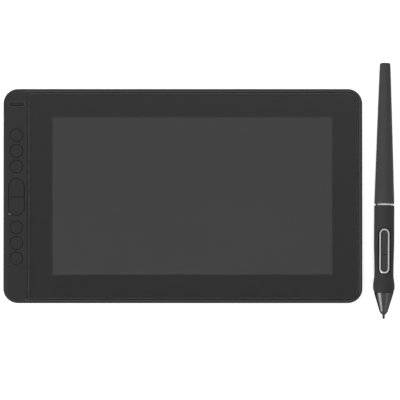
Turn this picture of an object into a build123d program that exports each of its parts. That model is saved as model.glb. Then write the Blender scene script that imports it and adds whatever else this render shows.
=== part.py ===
from build123d import *
from math import atan2, cos, degrees, pi, radians, sin, sqrt
import os

# A graphics tablet with a screen, lying face up on its rubber feet, and its cordless pen beside it.
# Millimetres. +X runs to the right along the long side, +Y to the far long side, +Z up from the desk.
# Everything of the tablet is drawn about the tablet's own centre. The pen is drawn about its own
# axis and then laid on the desk. Last of all the set is moved so that its footprint is centred.

# Housing of the tablet, which is built round the screen
cover_height = 5.8
frame_height = 5.0
foot_proud = 1.0
corner_radius = 13.3
housing_wall = 1.8
cover_floor = 1.6
edge_round = 1.4
cover_edge_chamfer = 1.3
seam_chamfer = 0.25
soft_edge_width = 6.0
soft_edge_drop = 2.2
lap_height = 0.8
lap_gap = 0.1

# Cover glass and what lies under it
rim_width = 3.2
key_strip_width = 22.5
glass_gap = 0.45
glass_recess = 0.3
glass_thickness = 1.1
glass_edge_chamfer = 0.2
glass_near_radius = 1.5
print_thickness = 0.1
print_setback = 0.1
tape_thickness = 0.2
tape_setback = 0.5
adhesive_thickness = 0.25
ledge_thickness = 1.4

# Screen module
screen_width = 256.3
screen_height = 144.2
screen_side_margin = 24.3
screen_key_margin = 22.2
screen_end_margin = 22.7
screen_corner_radius = 1.6
panel_border = 4.4
panel_driver_border = 7.0
panel_thickness = 1.2
panel_clearance = 0.3
backlight_height = 2.65
reflector_thickness = 0.2
light_guide_thickness = 1.8
diffuser_thickness = 0.4
light_guide_border = 1.0
film_gap = 0.2
led_channel = 2.2
led_strip_thickness = 0.3
led_height = 0.9
led_width = 3.0
led_pitch = 15.0
guide_rib = 1.2
guide_rib_gap = 0.2

# Pen sensor and the plate that carries it
sensor_border = 6.0
sensor_thickness = 0.6
shield_thickness = 0.3
shield_setback = 1.0
plate_thickness = 1.0
plate_side_gap = 2.4
plate_boss_gap = 0.6
plate_left_border = 5.0
plate_lightening_width = 44.0
plate_lightening_height = 36.0
plate_lightening_pitch_x = 58.0
plate_lightening_pitch_y = 58.0

# Express keys
key_column_inset = 12.0
key_group_shift = -0.9
key_radius = 5.75
key_pitch = 14.2
first_key_offset = 27.9
pair_key_width = 13.9
pair_key_length = 33.6
pair_key_split = 0.45
key_gap = 0.25
key_proud = 0.2
key_chamfer = 0.35
key_hole_chamfer = 0.45
key_deck = 1.8
key_flange_thickness = 0.8
key_flange_gap = 0.2
key_flange_width = 12.9
pair_flange_lip = 0.5
key_stem_width = 3.0
key_travel = 0.4

# Power key and indicator
power_key_inset = 13.9
power_key_length = 13.2
power_key_width = 2.4
power_mouth_chamfer = 0.75
power_key_sink = 0.3
power_flange_lip = 0.7
power_travel = 0.3
power_key_chamfer = 0.25
indicator_inset = 5.7
indicator_shift = -16.4
indicator_radius = 0.85
indicator_gap = 0.08

# Key board under the express keys
switch_body = 4.4
switch_body_height = 0.7
switch_button = 1.9
switch_button_height = 0.3
key_board_thickness = 1.0
key_board_width = 15.6
key_board_end_margin = 2.0
led_chip = 1.6
led_chip_height = 0.6
key_board_post_radius = 1.7

# Main board along the far wall, with a leg down the near side of the screen
main_board_end_margin = 10.2
main_board_width = 14.0
main_board_wall_gap = 2.7
main_board_left_inset = 16.2
main_board_leg_width = 10.0
main_board_leg_length = 84.0
main_board_leg_inset = 22.8
main_board_thickness = 1.2
main_board_lift = 1.4
board_post_radius = 2.2
board_post_inset = 1.0
board_part_shift = 1.2
shield_can_length = 22.0
shield_can_width = 9.0
shield_can_height = 1.8
shield_can_wall = 0.25
shield_vent_pitch = 5.0
shield_vent_width = 1.6
chip_size = 6.0
chip_height = 1.0
leg_chip_offset = 24.0
connector_width = 2.0
connector_setback = 1.2
connector_height = 1.0
flex_thickness = 0.2
flex_width = 20.0
flex_spacing = 9.0
key_flex_width = 9.0
key_flex_reach = 2.0

# Ports in the far wall, for plugs of the small reversible kind
port_first_inset = 26.0
port_pitch = 16.0
port_shell_width = 8.94
port_shell_height = 3.26
port_shell_depth = 7.35
port_shell_wall = 0.3
port_tongue_width = 6.7
port_tongue_thickness = 0.7
port_tongue_setback = 0.8
port_gap = 0.27
port_setback = 0.5

# Screws and their seats
housing_screw_radius = 1.0
housing_head_radius = 1.9
housing_head_height = 1.1
housing_head_recess = 1.5
housing_screw_reach = 2.6
housing_boss_radius = 3.3
frame_boss_radius = 2.6
boss_inset = 8.0
boss_meeting_height = 5.4
small_screw_radius = 0.8
small_head_radius = 1.5
small_head_height = 0.7
small_screw_bite = 2.0
screw_gap = 0.05
head_gap = 0.25
plate_post_radius = 1.9
plate_post_setback = 2.9

# Feet and floor ribs
foot_length = 36.0
foot_width = 9.0
foot_pocket = 0.6
foot_side_gap = 0.15
foot_inset_x = 44.0
foot_inset_y = 18.0
rib_thickness = 1.0
rib_gap = 0.3

# Pen, from its tail to the nib's tip; the barrel has the length that the pieces before it leave
pen_length = 234.8
ring_width = 1.8
grip_length = 79.9
nose_length = 17.6
nose_tip_length = 2.4
nib_reach = 3.8
tail_radius = 4.9
tail_round = 1.8
barrel_front_radius = 9.2
barrel_swell = 0.08
barrel_wall = 1.3
ring_radius = 8.45
grip_rear_radius = 9.24
grip_belly_radius = 9.30
grip_waist_radius = 8.82
grip_flare_radius = 9.86
grip_front_radius = 8.81
grip_thickness = 1.4
core_wall = 1.2
core_insert = 9.0
barrel_solid_tail = 6.0
nose_step = 0.05
nose_shoulder_radius = 3.6
nose_tip_radius = 1.5
nose_spigot = 8.0
nib_radius = 1.08
nib_taper = 0.6
nib_gap = 0.06
nib_travel = 0.5
nib_tail_reach = 2.2
pen_fit = 0.1

# Pen side buttons and their trim
trim_length = 41.0
trim_front_margin = 17.4
trim_width = 9.2
trim_line = 1.45
trim_proud = 0.3
trim_channel = 1.1
side_button_gap = 0.5
side_button_proud = 0.8
side_button_split = 23.6
side_button_split_gap = 0.35
side_button_bevel = 0.9
side_button_flange_width = 8.0
side_button_flange_thickness = 0.9
side_button_flange_gap = 0.2
side_button_stem_width = 2.6
side_button_travel = 0.4

# Inside the pen
pen_board_height = 1.0
pen_board_thickness = 1.0
pen_board_length = 60.0
pen_switch_size = 3.0
pen_switch_height = 1.5
sensor_cup_length = 6.0
sensor_cup_gap = 0.4
ferrite_radius = 2.6
ferrite_length = 19.0
coil_radius = 3.3
coil_length = 14.0
coil_setback = 2.0

# Where the pen lies, and its turn on the desk in degrees
pen_side_gap = 9.7
pen_tip_ahead = 14.6
pen_turn = -0.45

# Shares of the grip's length at which its belly, waist and flare lie, and of the width for a post
belly_share = 0.40
waist_shares = (0.745, 0.79)
flare_shares = (0.92, 0.945)
plate_post_share = 0.33

# Counts of the flat sides round the pen, and of the stretches along its curved outline
turn_sides = 32
tail_steps = 2
barrel_steps = 4
slow_steps = 2
flare_steps = 4

# Counts of floor ribs and of the sensor plate's openings
rib_count_x = 4
rib_count_y = 3
plate_hole_columns = 4
plate_hole_rows = 2

# Counts of the flat sides that stand for small round ones: round a key, round an outline's half-round
# end, and round a hidden post
key_sides = 28
end_sides = 8
post_sides = 8

# How far cutting tools run past what they cut, and how deep a boss is rooted in its wall
overrun = 1.0
root = 0.2

# Levels of the tablet, from the desk up
cover_bottom = foot_proud
floor_top = cover_bottom + cover_floor
parting = cover_bottom + cover_height
frame_top = parting + frame_height
glass_top = frame_top - glass_recess
glass_bottom = glass_top - glass_thickness
print_bottom = glass_bottom - print_thickness
ledge_top = print_bottom - tape_thickness
ledge_bottom = ledge_top - ledge_thickness
panel_top = print_bottom - adhesive_thickness
panel_bottom = panel_top - panel_thickness
backlight_bottom = panel_bottom - backlight_height
sensor_bottom = backlight_bottom - sensor_thickness
shield_bottom = sensor_bottom - shield_thickness
plate_bottom = shield_bottom - plate_thickness
deck_bottom = frame_top - key_deck
key_flange_top = deck_bottom - key_flange_gap
key_flange_bottom = key_flange_top - key_flange_thickness
switch_height = switch_body_height + switch_button_height
switch_top = key_flange_bottom - 2 * key_travel
key_board_top = switch_top - switch_height
key_board_bottom = key_board_top - key_board_thickness
main_board_bottom = floor_top + main_board_lift
main_board_top = main_board_bottom + main_board_thickness
port_height = main_board_bottom + main_board_thickness / 2

# Edges of the tablet seen from above
tablet_width = key_strip_width + screen_key_margin + screen_width + screen_side_margin + rim_width
tablet_depth = screen_height + 2 * (screen_end_margin + rim_width)
right_edge = tablet_width / 2
far_edge = tablet_depth / 2
inner_right = right_edge - housing_wall
inner_far = far_edge - housing_wall
glass_left = -right_edge + key_strip_width
glass_right = right_edge - rim_width
glass_far = far_edge - rim_width
glass_width = glass_right - glass_left
glass_centre = (glass_right + glass_left) / 2
screen_centre = glass_right - screen_side_margin - screen_width / 2
panel_width = screen_width + 2 * panel_border
panel_near = -screen_height / 2 - panel_border
panel_far = screen_height / 2 + panel_driver_border
panel_height = panel_far - panel_near
panel_shift = (panel_far + panel_near) / 2
panel_left = screen_centre - panel_width / 2
key_column = -right_edge + key_column_inset
power_key_y = far_edge - power_key_inset
boss_x = right_edge - boss_inset
boss_y = far_edge - boss_inset
plate_post_x = tablet_width * plate_post_share
plate_far = boss_y - housing_boss_radius - plate_boss_gap
plate_post_y = plate_far - plate_post_setback
main_board_left = -right_edge + main_board_left_inset
main_board_far = inner_far - main_board_wall_gap
main_board_near = main_board_far - main_board_width
display_flex_x = screen_centre - screen_width / 2 + panel_clearance + flex_width / 2
sensor_flex_x = display_flex_x + flex_width + flex_spacing
main_board_right = sensor_flex_x + flex_width / 2 + main_board_end_margin
leg_left = -right_edge + main_board_leg_inset
leg_near = main_board_far - main_board_leg_length
key_board_left = key_column - key_board_width / 2
last_key = first_key_offset + 2 * key_pitch
key_board_near_row = last_key + key_flange_width / 2 + key_board_post_radius + key_flange_gap

# Stations of the pen, from its tail, and its radii
barrel_length = pen_length - nib_reach - nose_tip_length - nose_length - grip_length - ring_width
ring_start = barrel_length
grip_start = ring_start + ring_width
grip_end = grip_start + grip_length
nose_base_radius = grip_front_radius - nose_step
shoulder_at = grip_end + nose_length
nose_end = shoulder_at + nose_tip_length
core_radius = grip_waist_radius - grip_thickness
core_inner = core_radius - core_wall
core_start = barrel_length - core_insert
trim_rear = grip_end - trim_front_margin - trim_length
trim_centre = trim_rear + trim_length / 2
trim_inner_half = trim_width / 2 - trim_line
trim_seat = sqrt(core_inner**2 - trim_inner_half**2)
button_bottom = pen_board_height + pen_switch_height + side_button_travel
spigot_start = grip_end - nose_spigot
cup_start = spigot_start - sensor_cup_gap - sensor_cup_length
ferrite_start = cup_start + sensor_cup_length
pen_board_end = cup_start - sensor_cup_gap


def prism(face, low, high):
    """A face drawn on the XY plane, raised between two heights."""
    return Pos(0, 0, low) * extrude(face, high - low)


def block(x_low, x_high, y_low, y_high, z_low, z_high):
    """A box given by its six limits."""
    size = (x_high - x_low, y_high - y_low, z_high - z_low)
    centre = ((x_low + x_high) / 2, (y_low + y_high) / 2, (z_low + z_high) / 2)
    return Pos(*centre) * Box(*size)


def post(x, y, radius, low, high):
    """An upright post, pin or hole. It is small or out of sight, so a few flat sides stand for a round."""
    return Pos(x, y, low) * extrude(RegularPolygon(radius, post_sides), high - low)


def long_outline(length, width, turn=0):
    """An outline with straight sides and ends that are nearly half round, longest along X before a turn."""
    radius = width / 2
    arm = length / 2 - radius
    half_end = [-pi / 2 + pi * step / end_sides for step in range(end_sides + 1)]
    right = [(arm + radius * cos(angle), radius * sin(angle)) for angle in half_end]
    left = [(-x, -y) for x, y in right]
    return Rot(0, 0, turn) * make_face(Polyline(*right, *left, close=True))


def housing_outline(inset):
    """The tablet's outline seen from above, drawn in by an inset on every side."""
    return RectangleRounded(tablet_width - 2 * inset, tablet_depth - 2 * inset, corner_radius - inset)


def glass_outline(grow):
    """The cover glass seen from above: round corners that follow the housing, and small ones by the keys."""
    face = Rectangle(glass_width + 2 * grow, 2 * (glass_far + grow))
    rounded = fillet(face.vertices().group_by(Axis.X)[-1], corner_radius - rim_width + grow)
    rounded = fillet(rounded.vertices().group_by(Axis.X)[0], glass_near_radius + grow)
    return Pos(glass_centre, 0) * rounded


def panel_outline(grow):
    """The screen panel seen from above, wider on the far side where its driver sits."""
    return Pos(screen_centre, panel_shift) * Rectangle(panel_width + 2 * grow, panel_height + 2 * grow)


def round_key_places():
    """Centres of the six round keys, from the far end to the near end."""
    offsets = [first_key_offset + turn * key_pitch for turn in (2, 1, 0)]
    rows = offsets + [-offset for offset in reversed(offsets)]
    return [(key_column, key_group_shift + row) for row in rows]


def pair_outline(grow):
    """The long outline that the two middle keys share."""
    slot = long_outline(pair_key_length + 2 * grow, pair_key_width + 2 * grow, 90)
    return Pos(key_column, key_group_shift) * slot


def pair_key_places():
    """Centres of the two middle keys' switches, far one first."""
    arm = (pair_key_length - pair_key_width) / 2
    return [(key_column, key_group_shift + side * arm / 2) for side in (1, -1)]


def power_outline(grow):
    """The power key's bar seen from above."""
    slot = long_outline(power_key_length + 2 * grow, power_key_width + 2 * grow)
    return Pos(key_column, power_key_y) * slot


def housing_screw_places():
    """Where the rear cover is screwed to the front frame."""
    return [(x, y) for x in (-boss_x, 0, boss_x) for y in (-boss_y, boss_y)]


def plate_screw_places():
    """Where the sensor plate hangs from the front frame."""
    columns = (-plate_post_x, 0, plate_post_x)
    return [(x, -plate_post_y) for x in columns] + [(x, plate_post_y) for x in columns[1:]]


def key_board_screw_places():
    """Where the key board hangs from the front frame, between the switches."""
    beside_pair = (pair_key_length / 2 + first_key_offset - key_flange_width / 2) / 2
    power_row = (power_key_y - key_group_shift + last_key) / 2
    rows = (power_row, beside_pair, -beside_pair, -key_board_near_row)
    side = key_column + key_board_width / 2 - key_board_post_radius
    return [(side, key_group_shift + row) for row in rows]


def main_board_screw_places():
    """Where the main board is screwed to the rear cover."""
    inset = board_post_radius + board_post_inset
    return [
        (main_board_right - inset, main_board_far - inset),
        (main_board_left + inset, main_board_near + inset),
        (leg_left + main_board_leg_width / 2, leg_near + inset),
    ]


def port_places():
    """Where the two ports stand along the far wall."""
    first = -right_edge + port_first_inset
    return [first, first + port_pitch]


def soft_edge_tool():
    """What is cut off the frame's edge beside the keys, so that it falls away in one wide round."""
    radius = (soft_edge_width**2 + soft_edge_drop**2) / (2 * soft_edge_drop)
    start = -right_edge + soft_edge_width
    length = tablet_depth + 2 * overrun
    corner = block(
        -right_edge - overrun, start, -length / 2, length / 2, frame_top - radius, frame_top + overrun
    )
    drum = Pos(start, 0, frame_top - radius) * Rot(90, 0, 0) * Cylinder(radius, length + overrun)
    return corner - drum


def key_openings():
    """The holes that the keys stand in, with chamfered mouths, as solids to cut away."""
    faces = [Pos(x, y) * RegularPolygon(key_radius + key_gap, key_sides) for x, y in round_key_places()]
    faces.append(pair_outline(key_gap))
    tools = []
    for face in faces:
        hole = prism(face, deck_bottom - overrun, frame_top)
        hole = chamfer_mouth(hole, key_hole_chamfer)
        tools.append(hole)
    return tools


def chamfer_mouth(hole, size):
    """Widens the top of a cutting tool, which ends flush with the surface that it cuts."""
    top = hole.faces().sort_by(Axis.Z)[-1]
    level = top.center().Z
    outline = Face(top.outer_wire())
    wide = Pos(0, 0, -level) * offset(outline, size, kind=Kind.INTERSECTION)
    flare = extrude(Sketch() + wide, -size, taper=45)
    return hole + Pos(0, 0, level) * flare


def power_opening():
    """The power key's slot, with a wide sloping mouth that leads a fingertip in."""
    return chamfer_mouth(prism(power_outline(key_gap), deck_bottom - overrun, frame_top), power_mouth_chamfer)


def front_frame():
    """The moulded front: rim, key deck, glass ledge, key holes, guide rib and posts."""
    frame = prism(housing_outline(0), parting, frame_top)
    frame = fillet(frame.faces().sort_by(Axis.Z)[-1].edges(), edge_round)
    frame = chamfer(frame.faces().sort_by(Axis.Z)[0].edges(), seam_chamfer)
    frame -= soft_edge_tool()
    frame -= prism(housing_outline(housing_wall), parting - overrun, ledge_bottom)
    deck_right = glass_left - glass_gap - housing_wall / 2
    deck_space = block(-inner_right, deck_right, -inner_far, inner_far, ledge_bottom - overrun, deck_bottom)
    frame -= deck_space & prism(housing_outline(housing_wall), parting, frame_top)
    frame -= prism(housing_outline(housing_wall / 2), parting - overrun, parting + lap_height + lap_gap)
    frame -= prism(glass_outline(glass_gap), ledge_top, frame_top + overrun)
    rib_low = backlight_bottom + guide_rib_gap
    rib_face = panel_outline(panel_clearance + guide_rib)
    frame += prism(rib_face, rib_low, ledge_bottom + root)
    for x, y in housing_screw_places():
        ceiling = deck_bottom if x == -boss_x else ledge_bottom
        frame += post(x, y, frame_boss_radius, boss_meeting_height, ceiling + root)
        pilot = post(x, y, housing_screw_radius + screw_gap, boss_meeting_height - overrun, ledge_bottom)
        frame -= pilot
    for x, y in plate_screw_places():
        frame += post(x, y, plate_post_radius, shield_bottom, ledge_bottom + root)
        frame -= post(x, y, small_screw_radius + screw_gap, shield_bottom - overrun, ledge_bottom)
    for x, y in key_board_screw_places():
        frame += post(x, y, key_board_post_radius, key_board_top, deck_bottom + root)
        frame -= post(x, y, small_screw_radius + screw_gap, key_board_top - overrun, deck_bottom)
    frame -= prism(panel_outline(panel_clearance), rib_low - overrun, frame_top)
    notch_half = flex_width / 2 + panel_clearance
    notch_far = panel_far + panel_clearance + guide_rib
    frame -= block(
        display_flex_x - notch_half,
        display_flex_x + notch_half,
        panel_far,
        notch_far,
        rib_low - overrun,
        ledge_top,
    )
    for tool in key_openings():
        frame -= tool
    frame -= power_opening()
    indicator_x = -right_edge + indicator_inset
    indicator_hole = indicator_radius + indicator_gap
    frame -= post(indicator_x, indicator_shift, indicator_hole, deck_bottom - overrun, frame_top + overrun)
    return frame


def rear_cover():
    """The moulded underside: a shallow tray with floor ribs, screw bosses, foot pockets and port slots."""
    cover = prism(housing_outline(0), cover_bottom, parting)
    cover = chamfer(cover.faces().sort_by(Axis.Z)[0].edges(), cover_edge_chamfer)
    cover = chamfer(cover.faces().sort_by(Axis.Z)[-1].edges(), seam_chamfer)
    cover -= prism(housing_outline(housing_wall), floor_top, parting + overrun)
    lip_face = housing_outline(housing_wall / 2 + lap_gap) - housing_outline(housing_wall)
    cover += prism(lip_face, parting - root, parting + lap_height)
    cover += floor_ribs()
    for x, y in housing_screw_places():
        cover += post(x, y, housing_boss_radius, floor_top - root, boss_meeting_height)
    for x, y in main_board_screw_places():
        cover += post(x, y, board_post_radius, floor_top - root, main_board_bottom)
    for x, y in housing_screw_places():
        head_seat = cover_bottom + housing_head_recess
        cover -= post(x, y, housing_head_radius + head_gap, cover_bottom - overrun, head_seat)
        hole_top = boss_meeting_height + overrun
        cover -= post(x, y, housing_screw_radius + screw_gap, cover_bottom, hole_top)
    for x, y in main_board_screw_places():
        cover -= post(x, y, small_screw_radius + screw_gap, floor_top, main_board_bottom + overrun)
    for x, y in foot_places():
        pocket = Pos(x, y) * long_outline(foot_length + 2 * foot_side_gap, foot_width + 2 * foot_side_gap)
        cover -= prism(pocket, cover_bottom - overrun, cover_bottom + foot_pocket)
    for x in port_places():
        face = long_outline(port_shell_width + 2 * port_gap, port_shell_height + 2 * port_gap)
        cover -= Pos(x, far_edge + overrun, port_height) * Rot(90, 0, 0) * extrude(face, port_shell_depth)
    return cover


def floor_ribs():
    """A grid of low ribs that stiffens the rear cover's floor under the sensor plate."""
    low = floor_top - root
    high = plate_bottom - rib_gap
    left = panel_left
    right = screen_centre + panel_width / 2
    half = screen_height / 2
    ribs = Part()
    for turn in range(rib_count_x):
        x = left + (right - left) * turn / (rib_count_x - 1)
        ribs += block(x - rib_thickness / 2, x + rib_thickness / 2, -half, half, low, high)
    for turn in range(rib_count_y):
        y = -half + 2 * half * turn / (rib_count_y - 1)
        ribs += block(left, right, y - rib_thickness / 2, y + rib_thickness / 2, low, high)
    return ribs


def foot_places():
    """Centres of the four rubber feet."""
    x_far = right_edge - foot_inset_x
    y_far = far_edge - foot_inset_y
    return [(x, y) for x in (-x_far, x_far) for y in (-y_far, y_far)]


def rubber_feet():
    """Four long rubber feet, glued in the cover's pockets."""
    feet = []
    for x, y in foot_places():
        face = Pos(x, y) * long_outline(foot_length, foot_width)
        feet.append(prism(face, 0, cover_bottom + foot_pocket))
    return feet


def cover_glass():
    """The sheet of glass that covers the screen and its border."""
    glass = prism(glass_outline(0), glass_bottom, glass_top)
    return chamfer(glass.faces().sort_by(Axis.Z)[-1].edges(), glass_edge_chamfer)


def screen_window(grow):
    """The lit field of the screen seen from above."""
    face = RectangleRounded(screen_width + 2 * grow, screen_height + 2 * grow, screen_corner_radius + grow)
    return Pos(screen_centre, 0) * face


def border_print():
    """The black border printed on the back of the glass, open over the lit field."""
    return prism(glass_outline(-print_setback) - screen_window(0), print_bottom, glass_bottom)


def glass_tape():
    """The black adhesive tape between the glass and the frame's ledge."""
    face = glass_outline(-tape_setback) - panel_outline(panel_clearance + tape_setback)
    return prism(face, ledge_top, print_bottom)


def optical_adhesive():
    """The clear adhesive that bonds the screen panel to the glass, filling the window in the print."""
    sheet = prism(panel_outline(-panel_clearance), panel_top, print_bottom)
    return sheet + prism(screen_window(-pen_fit), print_bottom, glass_bottom)


def lcd_panel():
    """The screen panel: two thin sheets of glass with their polarisers, as one slab."""
    return prism(panel_outline(0), panel_bottom, panel_top)


def guide_outline(grow):
    """The light guide and its films seen from above."""
    width = screen_width + 2 * (light_guide_border + grow)
    height = screen_height + 2 * (light_guide_border + grow)
    return Pos(screen_centre, 0) * Rectangle(width, height)


def led_channel_block(grow):
    """The space along the near side of the light guide that the lamps shine from."""
    near = -screen_height / 2 - light_guide_border - led_channel
    left = screen_centre - screen_width / 2
    return block(
        left - grow,
        left + screen_width + grow,
        near - grow,
        near + led_channel + overrun,
        backlight_bottom,
        panel_bottom,
    )


def backlight_frame():
    """The white moulded ring that holds the light guide, its films and the lamps."""
    ring = prism(panel_outline(0), backlight_bottom, panel_bottom)
    ring -= prism(guide_outline(film_gap), backlight_bottom, panel_bottom)
    return ring - led_channel_block(0)


def reflector_sheet():
    """The white sheet under the light guide."""
    return prism(guide_outline(0), backlight_bottom, backlight_bottom + reflector_thickness)


def light_guide():
    """The clear plate that spreads the lamps' light under the whole screen."""
    low = backlight_bottom + reflector_thickness
    return prism(guide_outline(0), low, low + light_guide_thickness)


def diffuser_films():
    """The stack of diffusing films over the light guide."""
    low = backlight_bottom + reflector_thickness + light_guide_thickness
    return prism(guide_outline(0), low, low + diffuser_thickness)


def led_strip():
    """A narrow strip with a row of lamps that face the light guide's near edge."""
    near = -screen_height / 2 - light_guide_border - led_channel + film_gap
    low = backlight_bottom + reflector_thickness
    left = screen_centre - screen_width / 2 + film_gap
    right = screen_centre + screen_width / 2 - film_gap
    strip = block(left, right, near, near + led_strip_thickness, low, low + light_guide_thickness)
    count = int((right - left) / led_pitch)
    middle = low + light_guide_thickness / 2
    depth = led_channel - led_strip_thickness - 3 * film_gap
    row = near + led_strip_thickness + depth / 2
    lamp = Pos(screen_centre, row, middle) * Box(led_width, depth, led_height)
    first = -(count - 1) / 2 * led_pitch
    return strip + [Pos(first + turn * led_pitch, 0, 0) * lamp for turn in range(count)]


def sensor_outline(grow):
    """The pen sensor seen from above."""
    width = screen_width + 2 * (sensor_border + grow)
    height = screen_height + 2 * (sensor_border + grow)
    return Pos(screen_centre, 0) * Rectangle(width, height)


def pen_sensor_board():
    """The grid of antenna loops that finds the pen, as one thin board."""
    return prism(sensor_outline(0), sensor_bottom, backlight_bottom)


def sensor_shield():
    """The thin magnetic sheet under the pen sensor."""
    return prism(sensor_outline(-shield_setback), shield_bottom, sensor_bottom)


def sensor_plate():
    """The metal plate under the sensor, lightened by rows of openings and hung from the frame's posts."""
    left = panel_left - plate_left_border
    right = inner_right - plate_side_gap
    short_far = main_board_near - plate_boss_gap
    step = main_board_right + plate_boss_gap + housing_boss_radius
    plate = block(left, right, -plate_far, short_far, plate_bottom, shield_bottom)
    plate += block(step, right, -plate_far, plate_far, plate_bottom, shield_bottom)
    hole = Rectangle(plate_lightening_width, plate_lightening_height)
    grid = GridLocations(
        plate_lightening_pitch_x, plate_lightening_pitch_y, plate_hole_columns, plate_hole_rows
    )
    openings = Pos(screen_centre, 0) * Sketch(children=[place * hole for place in grid])
    plate -= prism(openings, plate_bottom, shield_bottom)
    for x, y in plate_screw_places():
        plate -= post(x, y, small_screw_radius + screw_gap, plate_bottom, shield_bottom)
    return plate


def flat_screw(x, y, seat, length, radius, head_radius, head_height):
    """A flat-headed screw, driven upwards from its seat."""
    return post(x, y, radius, seat, seat + length) + post(x, y, head_radius, seat - head_height, seat)


def housing_screws():
    """The screws that close the housing, set in the rear cover's recesses."""
    seat = cover_bottom + housing_head_recess
    length = boss_meeting_height + housing_screw_reach - seat
    return [
        flat_screw(x, y, seat, length, housing_screw_radius, housing_head_radius, housing_head_height)
        for x, y in housing_screw_places()
    ]


def plate_screws():
    """The screws that hold the sensor plate."""
    length = plate_thickness + small_screw_bite
    return [
        flat_screw(x, y, plate_bottom, length, small_screw_radius, small_head_radius, small_head_height)
        for x, y in plate_screw_places()
    ]


def board_screws():
    """The screws of the two boards: the key board's point up, the main board's point down."""
    length = key_board_thickness + small_screw_bite
    screws = [
        flat_screw(x, y, key_board_bottom, length, small_screw_radius, small_head_radius, small_head_height)
        for x, y in key_board_screw_places()
    ]
    reach = main_board_thickness + main_board_lift
    for x, y in main_board_screw_places():
        screw = flat_screw(0, 0, 0, reach, small_screw_radius, small_head_radius, small_head_height)
        screws.append(Pos(x, y, main_board_top) * Rot(180, 0, 0) * screw)
    return screws


def key_board():
    """The narrow board under the keys, with the indicator's lamp on it."""
    near = key_group_shift - key_board_near_row - key_board_end_margin
    far = power_key_y + switch_body / 2 + screw_gap
    right = key_board_left + key_board_width
    board = block(key_board_left, right, near, far, key_board_bottom, key_board_top)
    for x, y in key_board_screw_places():
        board -= post(x, y, small_screw_radius + screw_gap, key_board_bottom, key_board_top)
    lamp_x = -right_edge + indicator_inset
    lamp = block(
        lamp_x - led_chip / 2,
        lamp_x + led_chip / 2,
        indicator_shift - led_chip / 2,
        indicator_shift + led_chip / 2,
        key_board_top - root,
        key_board_top + led_chip_height,
    )
    return board + lamp


def switch_places():
    """Where the switches sit under the keys, in the order of the keys, and the power key's last."""
    rounds = round_key_places()
    return rounds[:3] + pair_key_places() + rounds[3:] + [(key_column, power_key_y)]


def tact_switches():
    """The small push switches under the keys."""
    switches = []
    for x, y in switch_places():
        body = Pos(x, y, key_board_top + switch_body_height / 2) * Box(
            switch_body, switch_body, switch_body_height
        )
        button = Rectangle(switch_button, switch_button)
        body += Pos(x, y) * prism(button, key_board_top + switch_body_height - root, switch_top)
        switches.append(body)
    return switches


def indicator_light_pipe():
    """The clear pin that carries the lamp's light up to the key deck."""
    x = -right_edge + indicator_inset
    radius = (soft_edge_width**2 + soft_edge_drop**2) / (2 * soft_edge_drop)
    drop = radius - sqrt(radius**2 - (soft_edge_width - indicator_inset) ** 2)
    low = key_board_top + led_chip_height + screw_gap
    return post(x, indicator_shift, indicator_radius, low, frame_top - drop)


def key_cap(face, flange):
    """A key: its cap with a chamfered top, the flange that holds it under the deck, and its stem."""
    cap = prism(face, key_flange_top - root, frame_top + key_proud)
    return chamfer(cap.faces().sort_by(Axis.Z)[-1].edges(), key_chamfer) + flange


def key_stem(x, y):
    """The square stem that meets the switch after the key's travel."""
    return Pos(x, y, switch_top + key_travel) * extrude(
        Rectangle(key_stem_width, key_stem_width), key_travel + root
    )


def round_key(x, y):
    """One of the six round keys."""
    flange = Pos(x, y, key_flange_bottom) * extrude(
        Rectangle(key_flange_width, key_flange_width), key_flange_thickness
    )
    return key_cap(Pos(x, y) * RegularPolygon(key_radius, key_sides), flange) + key_stem(x, y)


def pair_key(side, x, y):
    """One of the two middle keys, which share a long outline; side is 1 for the far one."""
    arm = (pair_key_length - pair_key_width) / 2
    half_length = pair_key_length / 2 + overrun
    split = side * pair_key_split / 2
    window = Pos(key_column, key_group_shift + split + side * half_length / 2) * Rectangle(
        pair_key_width + 2 * overrun, half_length
    )
    face = pair_outline(0) & window
    low, high = sorted((key_group_shift + split, key_group_shift + side * arm))
    half_width = pair_key_width / 2 + pair_flange_lip
    flange = block(x - half_width, x + half_width, low, high, key_flange_bottom, key_flange_top)
    return key_cap(face, flange) + key_stem(x, y)


def express_keys():
    """The eight express keys by name, numbered from the far end to the near end."""
    rounds = [round_key(x, y) for x, y in round_key_places()]
    pair = [pair_key(side, x, y) for side, (x, y) in zip((1, -1), pair_key_places())]
    keys = rounds[:3] + pair + rounds[3:]
    return {f"key_{number}": key for number, key in enumerate(keys, 1)}


def power_key():
    """The bar-shaped power key, sunk a little in its slot."""
    bar = prism(power_outline(0), key_flange_bottom, frame_top - power_key_sink)
    bar = chamfer(bar.faces().sort_by(Axis.Z)[-1].edges(), power_key_chamfer)
    bar += prism(power_outline(power_flange_lip), key_flange_bottom, key_flange_top)
    stem = Rectangle(key_stem_width, power_key_width)
    low = switch_top + power_travel
    return bar + Pos(key_column, power_key_y) * prism(stem, low, key_flange_bottom + root)


def main_board():
    """The L-shaped main board, notched for the ports, with its shield can, chips and connectors."""
    board = block(
        main_board_left, main_board_right, main_board_near, main_board_far, main_board_bottom, main_board_top
    )
    leg_right = leg_left + main_board_leg_width
    board += block(leg_left, leg_right, leg_near, main_board_far, main_board_bottom, main_board_top)
    mouth = far_edge - port_setback
    for x in port_places():
        half = port_shell_width / 2 + port_gap
        back = mouth - port_shell_depth - port_gap
        board -= block(x - half, x + half, back, far_edge, main_board_bottom, main_board_top)
    for x, y in main_board_screw_places():
        board -= post(x, y, small_screw_radius + screw_gap, main_board_bottom, main_board_top)
    return board


def on_main_board(x, y, length, width, height):
    """A boxy component soldered on the main board's upper side."""
    return Pos(x, y, main_board_top + height / 2) * Box(length, width, height)


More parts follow.
